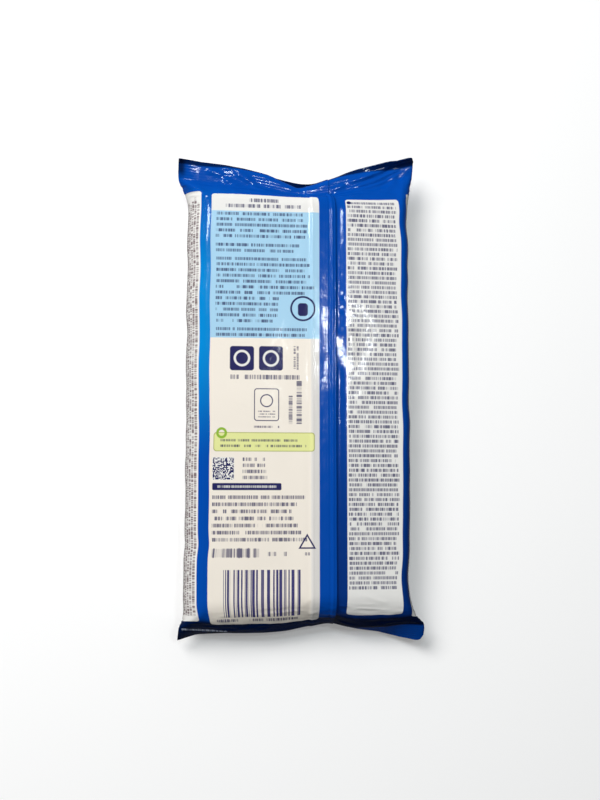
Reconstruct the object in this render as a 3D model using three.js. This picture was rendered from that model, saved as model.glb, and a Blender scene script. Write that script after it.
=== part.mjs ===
// A sealed, flow-wrapped pack of moist cleaning wipes, lying on its front with its back up.
//
// One film is wrapped round a stack of folded wipes. Its long edges are sealed to each other in a fin
// that lies flat against the back. Each end is crimped shut in a flat seal, whose corners stand out as
// ears. A peel-back label closes the dispensing cut in the middle of the front.
//
// Millimetres, +Z up, +Y towards the upper end of the pack. The origin is on the surface that the pack
// lies on, in the middle of its outline.

import * as THREE from "three";

// The filled body. Its length is measured on the middle line, between the two brows, where the film turns
// down towards an end seal. The wipes have settled towards the lower end, which is a little wider.
const BODY_LENGTH = 165;
const BODY_WIDTH = 91;
const BODY_THICKNESS = 20;
const LOWER_END_WIDENING = 1.4;
const LEFT_SIDE_BULGE = 7.6; // how far each rounded side stands out past the flat of the back
const RIGHT_SIDE_BULGE = 4;
const BACK_CROWN = 0.7; // how far the back rises in its middle

// How far the ends of each brow stand out past its middle. The wipes push the left of the lower brow out.
const UPPER_BROW_OUT = { left: -1.1, right: -1.6 };
const LOWER_BROW_OUT = { left: 3.8, right: 1.6 };

// How softly the film bends at each line, as the length of film on either side of it
const BROW_SOFTNESS = 6;
const EAR_CREASE_SOFTNESS = 3;
const SEAL_FOLD_SOFTNESS = 1.5;

// The seals
const END_SEAL_LENGTH = 8.5;
const END_SEAL_THICKNESS = 0.5; // two plies, with the height of the crimp's ribs
const FIN_WIDTH = 10.8;
const FIN_THICKNESS = 0.4; // the two sealed plies of the long edges, lying on the back
const FIN_FROM_LEFT_RIDGE = 41; // from the left ridge of the back to the root of the fin
const FIN_ROOT_RAMP = 1.2;
const FIN_EDGE_STEP = 0.12;

// The label
const LABEL_LENGTH = 104;
const LABEL_WIDTH = 56;
const LABEL_CORNER = 11;
const LABEL_THICKNESS = 0.2;
const TAB_WIDTH = 24;
const TAB_LENGTH = 7;
const TAB_CORNER = 5;

// How each end seal runs, as stations from the left ear to the right ear. "across" is a share of half the
// body's width, "out" is how far the fold stands past the middle of the brow, and "lean" is how far the
// sealed band tips outwards, from 0 for upright to 1 for flat. The upper band stands up from its fold,
// and "up" is the height of the fold over the middle of the body. The lower band hangs down from its
// fold, and "clear" is the height of its free edge over the surface that the pack lies on.
const UPPER_SEAL = [
  { across: -1.1, out: 13.4, up: 3, lean: 0.06 },
  { across: -0.9, out: 12.5, up: 1.5, lean: 0.05 },
  { across: -0.6, out: 11.8, up: 0, lean: 0.05 },
  { across: -0.3, out: 9.6, up: -1.5, lean: 0.02 },
  { across: -0.12, out: 6.3, up: -2, lean: 0 },
  { across: -0.02, out: 4.6, up: -2, lean: 0 },
  { across: 0.1, out: 6.1, up: -2, lean: 0.02 },
  { across: 0.36, out: 9.9, up: -1.2, lean: 0.05 },
  { across: 0.68, out: 12.8, up: 0, lean: 0.18 },
  { across: 0.88, out: 13.2, up: 1, lean: 0.42 },
  { across: 1.04, out: 14.2, up: 2, lean: 0.52 },
];
const LOWER_SEAL = [
  { across: -1.05, out: 8.8, clear: 5.3, lean: 0.5 },
  { across: -0.88, out: 9.8, clear: 3.3, lean: 0.18 },
  { across: -0.62, out: 10.6, clear: 2.2, lean: 0.05 },
  { across: -0.32, out: 10.9, clear: 1.7, lean: 0 },
  { across: -0.1, out: 10.3, clear: 1.2, lean: 0 },
  { across: 0.08, out: 8.5, clear: 1.2, lean: 0 },
  { across: 0.27, out: 6.4, clear: 1.2, lean: 0 },
  { across: 0.48, out: 8.1, clear: 1.7, lean: 0.06 },
  { across: 0.75, out: 8.2, clear: 3.1, lean: 0.3 },
  { across: 0.93, out: 7.2, clear: 5.8, lean: 0.66 },
  { across: 1.12, out: 7.4, clear: 8.6, lean: 0.84 },
];

// How finely the film is divided
const SIDE_STEPS = 5;
const BACK_STEP = 6;
const BODY_STEP = 15;
const SHOULDER_STEPS = 7;
const BROW_STEPS = 6;
const SEAL_STEPS = 4;

const MIDDLE_HEIGHT = LABEL_THICKNESS + BODY_THICKNESS / 2;
const PLY = END_SEAL_THICKNESS / 2;

// One half of the body's cross-section, from the middle of the left side over the back to the right side.
// Its length is the width of the empty film tube laid flat.
function halfSection() {
  const left = -BODY_WIDTH / 2 + LEFT_SIDE_BULGE;
  const right = BODY_WIDTH / 2 - RIGHT_SIDE_BULGE;
  const rise = BODY_THICKNESS / 2 - PLY;
  const path = new THREE.CurvePath();
  path.add(new THREE.EllipseCurve(left, 0, LEFT_SIDE_BULGE, rise, Math.PI, Math.PI / 2, true));
  path.add(new THREE.LineCurve(new THREE.Vector2(left, rise), new THREE.Vector2(right, rise)));
  path.add(new THREE.EllipseCurve(right, 0, RIGHT_SIDE_BULGE, rise, Math.PI / 2, 0, true));
  return path;
}

const SECTION = halfSection();
const [LEFT_ARC, BACK_FLAT, RIGHT_ARC] = SECTION.curves.map((curve) => curve.getLength());
const LAY_FLAT = LEFT_ARC + BACK_FLAT + RIGHT_ARC;
const FIN_ROOT = LEFT_ARC + FIN_FROM_LEFT_RIDGE;
const FIN_EDGE = FIN_ROOT + FIN_WIDTH;

// Evenly spaced values after "from", up to and with "to".
function steps(from, to, count) {
  return Array.from({ length: count }, (_, i) => from + ((to - from) * (i + 1)) / count);
}

function stepsOf(from, to, size) {
  return steps(from, to, Math.max(1, Math.round((to - from) / size)));
}

// Where the film is divided across, measured along the lay-flat width from its left fold.
const ACROSS = [
  0,
  ...steps(0, LEFT_ARC, SIDE_STEPS),
  ...stepsOf(LEFT_ARC, FIN_ROOT, BACK_STEP),
  FIN_ROOT + FIN_ROOT_RAMP,
  ...stepsOf(FIN_ROOT + FIN_ROOT_RAMP, FIN_EDGE, BACK_STEP),
  FIN_EDGE + FIN_EDGE_STEP,
  ...stepsOf(FIN_EDGE + FIN_EDGE_STEP, LEFT_ARC + BACK_FLAT, BACK_STEP),
  ...steps(LEFT_ARC + BACK_FLAT, LAY_FLAT, SIDE_STEPS),
];

// A bend in a path, rounded over the length "softness" on either side of it: 0 before it, and as long as
// the path after it.
function bend(past, softness) {
  if (Math.abs(past) < softness) return (past + softness) ** 2 / (4 * softness);
  return Math.max(0, past);
}

// How much of that bend is made at this point, from 0 to 1.
function bent(past, softness) {
  return THREE.MathUtils.clamp((1 + past / softness) / 2, 0, 1);
}

function widthAt(along) {
  const share = THREE.MathUtils.clamp(along / BODY_LENGTH, -0.5, 0.5);
  return BODY_WIDTH - share * LOWER_END_WIDENING;
}

// The body's surface over one film line, as if the body went on for ever. "side" is +1 on the back and -1
// on the front.
function bodyPoint(across, along, side) {
  const section = SECTION.getPointAt(across / LAY_FLAT);
  const crown = side > 0 ? BACK_CROWN * Math.sin((Math.PI * across) / LAY_FLAT) ** 2 : 0;
  return new THREE.Vector3(
    (section.x * widthAt(along)) / BODY_WIDTH,
    along,
    MIDDLE_HEIGHT + side * (section.y + PLY + crown),
  );
}

// One end of the pack. "out" is +1 at the upper end and -1 at the lower one, "tips" is the way that the
// sealed band stands, +1 up and -1 down, and "height" gives the height of the fold at a station.
function packEnd(out, browOut, stations, tips, height) {
  const browMiddle = BODY_LENGTH / 2;
  const endWidth = widthAt(out * browMiddle);
  const point = (station) =>
    new THREE.Vector3((station.across * endWidth) / 2, out * (browMiddle + station.out), height(station));
  const fold = new THREE.CatmullRomCurve3(stations.map(point), false, "centripetal");
  const lastStation = stations.length - 1;

  function lean(t) {
    const place = Math.min(t * lastStation, lastStation - 1e-6);
    const before = Math.floor(place);
    return THREE.MathUtils.lerp(stations[before].lean, stations[before + 1].lean, place - before);
  }

  // The fold, the way the band runs from it, and the way its upper face looks, at a share of the seal.
  function seal(share) {
    const t = fold.getUtoTmapping(share);
    const tip = lean(t);
    const band = new THREE.Vector3(0, out * tip, tips * uprightShare(tip));
    const face = fold.getTangent(t).cross(band).multiplyScalar(out).normalize();
    return { place: fold.getPoint(t), band, face };
  }

  // The brow is a smooth curve through its left end, its middle and its right end.
  function browAt(across) {
    const aside = (2 * across) / LAY_FLAT - 1;
    const slope = (browOut.right - browOut.left) / 2;
    const sag = (browOut.right + browOut.left) / 2;
    return browMiddle + slope * aside + sag * aside * aside;
  }

  // The film has the same length between the body's middle and the fold on every line, which is the mean
  // of what the lines over the flat of the back and front need.
  const lines = steps(LEFT_ARC, LAY_FLAT - RIGHT_ARC, 24).flatMap((across) =>
    [1, -1].map((side) => {
      const brow = browAt(across);
      return brow + bodyPoint(across, out * brow, side).distanceTo(seal(across / LAY_FLAT).place);
    }),
  );
  const foldAlong = lines.reduce((sum, length) => sum + length) / lines.length;
  return { out, browAt, foldAlong, seal };
}

// How much of a leaning band's length is upright.
function uprightShare(lean) {
  return Math.sqrt(1 - lean * lean);
}

const upperFoldHeight = ({ up }) => MIDDLE_HEIGHT + up;
const lowerFoldHeight = ({ clear, lean }) => clear + END_SEAL_LENGTH * uprightShare(lean);
const UPPER_END = packEnd(1, UPPER_BROW_OUT, UPPER_SEAL, 1, upperFoldHeight);
const LOWER_END = packEnd(-1, LOWER_BROW_OUT, LOWER_SEAL, -1, lowerFoldHeight);

// Where the film is divided along one end, measured from the body's middle.
function endStations({ foldAlong }) {
  const brow = BODY_LENGTH / 2;
  const browStart = brow - BROW_SOFTNESS;
  const browEnd = brow + BROW_SOFTNESS;
  const sealStart = foldAlong - SEAL_FOLD_SOFTNESS;
  const sealEnd = foldAlong + SEAL_FOLD_SOFTNESS;
  return [
    ...stepsOf(0, browStart, BODY_STEP),
    ...steps(browStart, browEnd, BROW_STEPS),
    ...steps(browEnd, sealStart, SHOULDER_STEPS),
    ...steps(sealStart, sealEnd, SEAL_STEPS),
    ...steps(sealEnd, foldAlong + END_SEAL_LENGTH, 3),
  ];
}

const ALONG = [
  ...endStations(LOWER_END).map((along) => -along).reverse(),
  0,
  ...endStations(UPPER_END),
];

// How far a film line lies into a side: 0 on the back or front and up to the ridge, 1 in the middle of a
// side.
function intoSide(across) {
  const left = 1 - across / LEFT_ARC;
  const right = 1 - (LAY_FLAT - across) / RIGHT_ARC;
  return Math.max(0, left, right);
}

function finLift(across) {
  if (across < FIN_ROOT || across > FIN_EDGE) return 0;
  return FIN_THICKNESS * Math.min(1, (across - FIN_ROOT) / FIN_ROOT_RAMP);
}

// A point of the film: over the body, down a shoulder, and out along the end seal. In a side the film
// first runs in the flat triangle between the body's corners and the ear, and then crosses a crease.
function filmPoint(across, along, side) {
  const end = along < 0 ? LOWER_END : UPPER_END;
  const { out } = end;
  const brow = end.browAt(across);
  const shoulder = end.foldAlong - brow;
  const onLeft = across < LAY_FLAT / 2;
  const ridgeAcross = onLeft ? LEFT_ARC : LAY_FLAT - RIGHT_ARC;
  const aside = intoSide(across);
  const start = bodyPoint(across, out * brow, side);
  const ridge = bodyPoint(ridgeAcross, out * end.browAt(ridgeAcross), side);
  const ear = end.seal(onLeft ? 0 : 1);
  const here = end.seal(across / LAY_FLAT);
  const earPlace = ear.place.clone().addScaledVector(ear.face, side * PLY);
  const foldPlace = here.place.clone().addScaledVector(here.face, side * PLY);
  const crease = aside > 0 ? ridge.clone().lerp(earPlace, aside) : start.clone();
  const shortest = 0.004;

  const overBody = new THREE.Vector3(0, out, 0);
  const toFold = foldPlace.sub(crease).divideScalar(Math.max(shortest, 1 - aside) * shoulder);
  const toCrease = aside > shortest ? crease.clone().sub(start).divideScalar(aside * shoulder) : toFold;
  const past = Math.abs(along) - brow;
  const turns = [
    [toCrease.clone().sub(overBody), past, BROW_SOFTNESS],
    [toFold.clone().sub(toCrease), past - aside * shoulder, EAR_CREASE_SOFTNESS],
    [here.band.clone().sub(toFold), past - shoulder, SEAL_FOLD_SOFTNESS],
  ];
  const place = bodyPoint(across, along, side);
  const heading = overBody.clone();
  for (const [turn, beyond, softness] of turns) {
    place.addScaledVector(turn, bend(beyond, softness));
    heading.addScaledVector(turn, bent(beyond, softness));
  }
  if (side > 0) {
    const face = new THREE.Vector3(out, 0, 0).cross(heading).normalize();
    place.addScaledVector(face, finLift(across));
  }
  return place;
}

// The empty tube laid flat is a thin box, and each of its points is moved to where the film lies.
function sealedPack() {
  const columns = ACROSS.length - 1;
  const rows = ALONG.length - 1;
  const film = new THREE.BoxGeometry(1, 1, 1, columns, rows, 1);
  const points = film.getAttribute("position");
  for (let i = 0; i < points.count; i++) {
    const across = ACROSS[Math.round((points.getX(i) + 0.5) * columns)];
    const along = ALONG[Math.round((points.getY(i) + 0.5) * rows)];
    const place = filmPoint(across, along, Math.sign(points.getZ(i)));
    points.setXYZ(i, place.x, place.y, place.z);
  }
  film.computeVertexNormals();
  const print = new THREE.MeshStandardMaterial({ color: 0x0058c0, roughness: 0.25, metalness: 0 });
  const mesh = new THREE.Mesh(film, print);
  mesh.name = "sealed_pack";
  return mesh;
}

// The label's outline: a round-cornered rectangle with a tab to lift it by at its lower end.
function resealLabel() {
  const x = LABEL_WIDTH / 2;
  const y = LABEL_LENGTH / 2;
  const tab = TAB_WIDTH / 2;
  const tabEnd = -y - TAB_LENGTH;
  const quarter = Math.PI / 2;
  const outline = new THREE.Shape();
  outline.absarc(x - LABEL_CORNER, y - LABEL_CORNER, LABEL_CORNER, 0, quarter);
  outline.absarc(LABEL_CORNER - x, y - LABEL_CORNER, LABEL_CORNER, quarter, 2 * quarter);
  outline.absarc(LABEL_CORNER - x, LABEL_CORNER - y, LABEL_CORNER, 2 * quarter, 3 * quarter);
  outline.lineTo(-tab, -y);
  outline.absarc(TAB_CORNER - tab, tabEnd + TAB_CORNER, TAB_CORNER, 2 * quarter, 3 * quarter);
  outline.absarc(tab - TAB_CORNER, tabEnd + TAB_CORNER, TAB_CORNER, 3 * quarter, 4 * quarter);
  outline.lineTo(tab, -y);
  outline.absarc(x - LABEL_CORNER, LABEL_CORNER - y, LABEL_CORNER, 3 * quarter, 4 * quarter);
  outline.closePath();
  const sheet = new THREE.ExtrudeGeometry(outline, {
    depth: LABEL_THICKNESS,
    bevelEnabled: false,
    curveSegments: 8,
  });
  const white = new THREE.MeshStandardMaterial({ color: 0xf1efe9, roughness: 0.35, metalness: 0 });
  const mesh = new THREE.Mesh(sheet, white);
  mesh.name = "reseal_label";
  return mesh;
}

const pack = new THREE.Group();
pack.add(sealedPack(), resealLabel());
const middle = new THREE.Box3().setFromObject(pack).getCenter(new THREE.Vector3());
pack.position.set(-middle.x, -middle.y, 0);

const part = new THREE.Group();
part.add(pack);
export default part;
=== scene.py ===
"""A sealed pack of moist cleaning wipes: its printed film and its peel-back label."""

import math

import bmesh
import bpy
import numpy as np
from bpy.props import FloatProperty, FloatVectorProperty, PointerProperty
from mathutils import Matrix, Vector


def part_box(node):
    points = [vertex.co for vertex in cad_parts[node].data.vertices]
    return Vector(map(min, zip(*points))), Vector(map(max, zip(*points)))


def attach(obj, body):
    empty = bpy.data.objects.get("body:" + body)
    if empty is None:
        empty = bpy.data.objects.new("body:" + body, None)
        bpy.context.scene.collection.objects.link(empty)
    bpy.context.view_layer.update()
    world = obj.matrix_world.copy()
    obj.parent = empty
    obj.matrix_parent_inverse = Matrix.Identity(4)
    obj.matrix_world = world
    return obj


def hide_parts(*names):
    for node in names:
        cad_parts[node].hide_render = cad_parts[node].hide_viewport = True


bl_info = {
    "name": "Wet Wipes Pack",
    "version": (1, 0, 0),
    "blender": (4, 5, 0),
    "location": "View3D > Sidebar > Wipes Pack",
    "description": "Builds a flow-wrapped pack of moist wipes round its packed frame",
    "category": "Object",
}

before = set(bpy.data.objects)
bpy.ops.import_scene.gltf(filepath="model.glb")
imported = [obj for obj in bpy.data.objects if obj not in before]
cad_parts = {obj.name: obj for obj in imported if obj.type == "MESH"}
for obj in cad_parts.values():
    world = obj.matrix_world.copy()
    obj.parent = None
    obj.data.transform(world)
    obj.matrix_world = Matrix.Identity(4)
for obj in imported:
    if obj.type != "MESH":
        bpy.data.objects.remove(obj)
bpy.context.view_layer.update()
FILM_NODE = "sealed_pack"
LABEL_NODE = "reseal_label"
MM = 0.001

# The film is worked out in millimetres from the middle of the label, which is where the body's middle is. The
# frame's origin is in the middle of the whole outline.
LABEL_LOW, LABEL_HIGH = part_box(LABEL_NODE)
TAB_LENGTH = 7.0
MIDDLE = np.array(
    [
        (LABEL_LOW.x + LABEL_HIGH.x) / 2,
        (LABEL_LOW.y + LABEL_HIGH.y) / 2 + TAB_LENGTH / 2 * MM,
        0,
    ]
)


def linear(code):
    """An sRGB hex code as a linear colour."""
    parts = [int(code[i : i + 2], 16) / 255 for i in (1, 3, 5)]
    return [p / 12.92 if p <= 0.04045 else ((p + 0.055) / 1.055) ** 2.4 for p in parts]


def length(name, text, default):
    """A setting in millimetres."""
    return FloatProperty(name=name, description=text, default=default * MM, min=0, unit="LENGTH")


def angle(name, text, degrees):
    """A setting in degrees."""
    return FloatProperty(name=name, description=text, default=math.radians(degrees), subtype="ANGLE")


def colour(name, text, code):
    """A setting that starts as an sRGB hex code."""
    return FloatVectorProperty(
        name=name,
        description=text,
        default=linear(code),
        subtype="COLOR",
        size=3,
        min=0,
        max=1,
    )


class FilmSizes(bpy.types.PropertyGroup):
    """The pack's own sizes, which the frame was made from as well."""

    body_length: length("Body length", "Between the two brows", 165)
    body_width: length("Body width", "Across the filled body", 91)
    thickness: length("Thickness", "Of the filled body", 20)
    widening: length("Widening", "How much wider the lower end is", 1.4)
    left_bulge: length("Left bulge", "How far the left side stands out", 7.6)
    right_bulge: length("Right bulge", "How far the right side stands out", 4)
    crown: length("Crown", "How far the back rises in its middle", 0.7)
    seal_length: length("End seal", "Length of each crimped end seal", 8.5)
    seal_thickness: length("Seal thickness", "Of both plies of an end seal", 0.5)
    fin_width: length("Fin width", "Of the seal down the back", 10.8)
    fin_root: length("Fin root", "From the left ridge to the fin's root", 41)
    label_thickness: length("Label thickness", "Of the peel-back label", 0.2)


class PrintColours(bpy.types.PropertyGroup):
    """The inks on the film, the label's colour, and colours laid as painted shade and painted highlights on
    the film.
    """

    blue: colour("Blue", "The film's ground colour", "#0049aa")
    azure: colour("Azure", "Where the ground is lightest", "#0284ce")
    # navy: partly the print's own darker blue and partly painted shade, laid low on the right where the film
    # lies in shade
    navy_print_and_shade: colour("Navy", "Where the ground is darkest, and the print", "#04296c")
    # deep is painted shade laid as a colour: near black where the lower end, the upper band's rim and the
    # left ear's tip turn away from the light
    deep: colour("Deep", "The ground at the lower end", "#01071f")
    ink: colour("Ink", "Small print", "#26265a")
    brown: colour("Brown", "Small print on the side panels", "#5b4148")
    cream: colour("Cream", "The lower field of the left panel", "#f0e8dc")
    white: colour("White", "The header, the right panel and the side panels", "#e6e5e2")
    sky: colour("Sky", "The upper field of the left panel", "#a6d0ea")
    # painted shade: the cream greyed where the fin's root lifts the panel and turns it from the light
    painted_shade_over_fin: colour("Over the fin", "The left panel where the fin's root lifts it", "#cfd0d2")
    lime: colour("Lime", "The rounded box", "#e2e59c")
    olive: colour("Olive", "The rounded box's edge", "#a9ae62")
    leaf: colour("Leaf", "The ring on the rounded box", "#8fb53c")
    bars: colour("Bars", "The upright bars", "#1e1e68")
    # painted highlight, not cracked ink: the white glints along the lower end's fold
    painted_glint: colour("Cracked ink", "The specks along the lower end's fold", "#cfd8ea")
    label: colour("Label", "The peel-back label", "#f1efe9")


class StudioSettings(bpy.types.PropertyGroup):
    """The camera's place and the power of each light."""

    distance: length("Camera distance", "From the camera to the pack", 560)
    lean_left: angle("Lean left", "Camera's angle off plumb, to the left", 8.12)
    lean_down: angle("Lean down", "Camera's angle off plumb, to the lower end", 4.41)
    key: FloatProperty(name="Key lamp", description="Power of the soft key lamp", default=9.3)
    window: FloatProperty(name="Window lamp", description="Power of the lamp above", default=0.95)
    strip: FloatProperty(name="Strip lamp", description="Power of the lamp past the upper end", default=1.05)
    fill: FloatProperty(name="Fill", description="Strength of the room's light", default=0.16)
    room: FloatProperty(name="Room", description="Share of it seen in reflections", default=0.15)


# How each end seal runs, as stations from the left ear to the right ear: a share of half the body's width,
# how far the fold stands past the middle of the brow, and its height over the ground. From the fold the
# sealed band sets off at an angle to the upright, in degrees, runs straight for a way, and bends over a
# length to a second angle. These and all sizes below are in millimetres.
UPPER_SEAL = (
    (-1.1, 6.1, 16.5, 72, 5.6, 2.9, 40),
    (-0.9, 4.9, 16.8, 84, 6.2, 2.2, 120),
    (-0.6, 4.6, 16.6, 88, 5.6, 2.4, 160),
    (-0.3, 3.05, 16.2, 88, 4.6, 2.4, 165),
    (-0.12, 1.35, 16.0, 88, 3.0, 2.4, 168),
    (-0.02, 1.0, 15.8, 88, 1.6, 2.4, 168),
    (0.1, 0.9, 15.8, 88, 2.6, 2.4, 165),
    (0.36, 3.0, 15.4, 87, 5.0, 2.4, 165),
    (0.68, 6.5, 14.6, 84, 5.2, 2.6, 60),
    (0.88, 10.1, 14.0, 80, 3.6, 3.4, 12),
    (1.04, 12.1, 14.6, 76, 3.2, 3.6, 14),
)
LOWER_SEAL = (
    (-1.05, 8.1, 12.2, 45, 0, 6.5, 30),
    (-0.88, 8.6, 11.4, 25, 0, 6.5, 10),
    (-0.62, 9.5, 10.6, 13, 0, 6.5, 3),
    (-0.32, 9.8, 10.2, 10, 0, 6.5, 0),
    (-0.1, 9.25, 9.7, 10, 0, 6.5, 0),
    (0.08, 7.75, 9.7, 0, 0, 6.5, 0),
    (0.27, 6.4, 9.7, 0, 0, 6.5, 0),
    (0.48, 8.3, 10.2, 3, 0, 6.5, 3),
    (0.75, 8.2, 11.2, 17, 0, 6.5, 17),
    (0.93, 7.2, 12.2, 41, 0, 6.5, 41),
    (1.12, 7.4, 13.2, 57, 0, 6.5, 57),
)

# How far each brow, where the back turns down to the seal, stands out at its left, in its middle and at its
# right, and the half length of each bend in the film on the way from the body to the sealed band.
UPPER_BROW_OUT = (-1.1, 0, -1.6)
LOWER_BROW_OUT = (4.6, 0.2, 1.6)
BROW_SOFTNESS = 6.0
EAR_SOFTNESS = 3.0
FOLD_SOFTNESS = 1.3
SEAL_CORNER = 3.2  # radius of the sealed bands' right corners

# The fin lies on the back. Its root pulls the film up, its top reaches its full height after a ramp, and the
# end seals press it thinner.
ROOT_RISE = 0.5
ROOT_RISE_REACH = (6, 5)  # to the left and to the right of the root
FIN_RAMP = 1.2
FIN_FREE = 1.6  # from the root to where its underside is free of the film
FIN_HEIGHT = 0.35
FIN_THICKNESS = 0.25
PRESSED_FIN_HEIGHT = 0.28
PRESSED_FIN_THICKNESS = 0.14
# Beads and the groove along the fin: where from its root, half width and height.
FIN_BEADS = ((1.0, 0.7, 0.12), (8.2, 0.4, -0.13), (9.3, 0.55, 0.14), (10.8, 0.35, 0.1))

# The crimp's ribs across the sealed bands. The upper band is pressed almost flat.
RIB_PITCH = 1.15
UPPER_RIB_HEIGHT = 0.025
LOWER_RIB_HEIGHT = 0.12

# Beside the fin the film is taut over a stretch, and holds a hollow that mirrors the lamp above.
HOLLOW_ALONG = 20.5
TROUGH_DEPTH = 0.35

# Dents in the sides: where along the film, half length, and how far they move the film to the right.
LEFT_DENTS = ((-57.5, 3.5, 0.4),)
RIGHT_DENTS = ((-70, 7, -0.9), (72, 5, -0.5))

UV_UNIT = 100  # millimetres of film in one unit of its UV map
PANEL_EDGES = (12.4, 64, 94.4)  # across the film, where the left and right panels' materials start and end
PANEL_SPLIT = -21.8  # along the film, where the left panel passes from one material to the next
PRINT_EDGE = 0.14  # half the width over which a printed edge fades
CHEQUER = 0.42  # one square of the chequered field

ARC_POINTS = 400  # along each side's quarter of an ellipse
STATION_POINTS = 60  # from each station of a seal to the next
LATTICE = 128  # random values each way in a cloud
POLYPROPYLENE_IOR = 1.49

# What one pixel of the photograph spans on the pack, and how many pixels right and up of the label's middle
# the camera looks, at the given height.
PIXEL = 0.4066 * MM
PICTURE_HEIGHT = 800
AIM = (1.85, 1.8)
AIM_HEIGHT = 10 * MM
SENSOR = 36.0


def smooth(x, low, high):
    """0 below low, 1 above high, and a smooth step between."""
    s = np.clip((x - low) / (high - low), 0, 1)
    return s * s * (3 - 2 * s)


class PackEnd:
    """One end of the pack: its brow, its shoulder and its sealed band."""

    def __init__(self, film, out, brow_out, stations):
        self.film, self.out, self.brow_out = film, out, brow_out
        share, past, height, first, straight, bend, last = np.array(stations, float).T
        brow = film.length / 2
        half_width = film.width_at(out * brow) / 2
        points = np.stack([share * half_width, out * (brow + past), height], -1)
        turns = [np.radians(first), straight, bend, np.radians(last)]
        self.lay_curve(points, np.stack(turns, -1))
        # the fold lies as far along the film as the shoulders are long, taken over the back's width
        lines = np.linspace(film.left_arc, film.flat - film.right_arc, 25)[1:]
        start = self.brow_at(lines)
        fold = self.seal(lines, 0 * lines)[0]
        shoulders = [fold - film.body(lines, out * start, side) for side in (1, -1)]
        self.fold_along = float(np.mean([start + np.linalg.norm(s, axis=-1) for s in shoulders]))

    def lay_curve(self, p, turns):
        """A centripetal Catmull-Rom curve through the stations, measured along its length."""
        ends = np.vstack([2 * p[0] - p[1], p, 2 * p[-1] - p[-2]])
        places, turned = [], []
        for i in range(len(p) - 1):
            p0, p1, p2, p3 = ends[i : i + 4]
            steps = ((p0, p1), (p1, p2), (p2, p3))
            d0, d1, d2 = (np.linalg.norm(b - a) ** 0.5 for a, b in steps)
            t1 = ((p1 - p0) / d0 - (p2 - p0) / (d0 + d1) + (p2 - p1) / d1) * d1
            t2 = ((p2 - p1) / d1 - (p3 - p1) / (d1 + d2) + (p3 - p2) / d2) * d1
            s = np.linspace(0, 1, STATION_POINTS, endpoint=i == len(p) - 2)[:, None]
            third = 2 * p1 - 2 * p2 + t1 + t2
            second = -3 * p1 + 3 * p2 - 2 * t1 - t2
            places.append(p1 + t1 * s + second * s**2 + third * s**3)
            turned.append(turns[i] + (turns[i + 1] - turns[i]) * s)
        self.places, self.turned = np.vstack(places), np.vstack(turned)
        gaps = np.linalg.norm(np.diff(self.places, axis=0), axis=1)
        reach = np.concatenate([[0], np.cumsum(gaps)])
        self.shares = reach / reach[-1]
        self.runs = np.gradient(self.places, reach, axis=0)

    def brow_at(self, across):
        left, middle, right = self.brow_out
        aside = 2 * across / self.film.flat - 1
        bend = (left + right) / 2 - middle
        return self.film.length / 2 + middle + (right - left) / 2 * aside + bend * aside**2

    def seal(self, across, past):
        """A place in the band, how the band runs on from there, and the way its upper face looks."""
        share = across / self.film.flat

        def along(values):
            return np.stack([np.interp(share, self.shares, v) for v in values.T], -1)

        first, straight, bend, last = along(self.turned).T
        rate = (last - first) / bend
        rate = np.where(np.abs(rate) < 1e-3, 1e-3, rate)
        bent = np.clip(past - straight, 0, bend)
        tip = first + rate * bent
        before, after = np.minimum(past, straight), np.maximum(0, past - straight - bend)
        outwards = before * np.sin(first) + (np.cos(first) - np.cos(tip)) / rate + after * np.sin(tip)
        upwards = before * np.cos(first) + (np.sin(tip) - np.sin(first)) / rate + after * np.cos(tip)
        start = along(self.places)
        start[..., 1] += self.out * outwards
        start[..., 2] += self.out * upwards
        band = self.out * np.stack([0 * tip, np.sin(tip), np.cos(tip)], -1)
        face = np.cross(along(self.runs), band) * self.out
        return start, band, unit(face)


def unit(v):
    """The vectors, each made one long."""
    return v / np.maximum(np.linalg.norm(v, axis=-1, keepdims=True), 1e-9)


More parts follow.
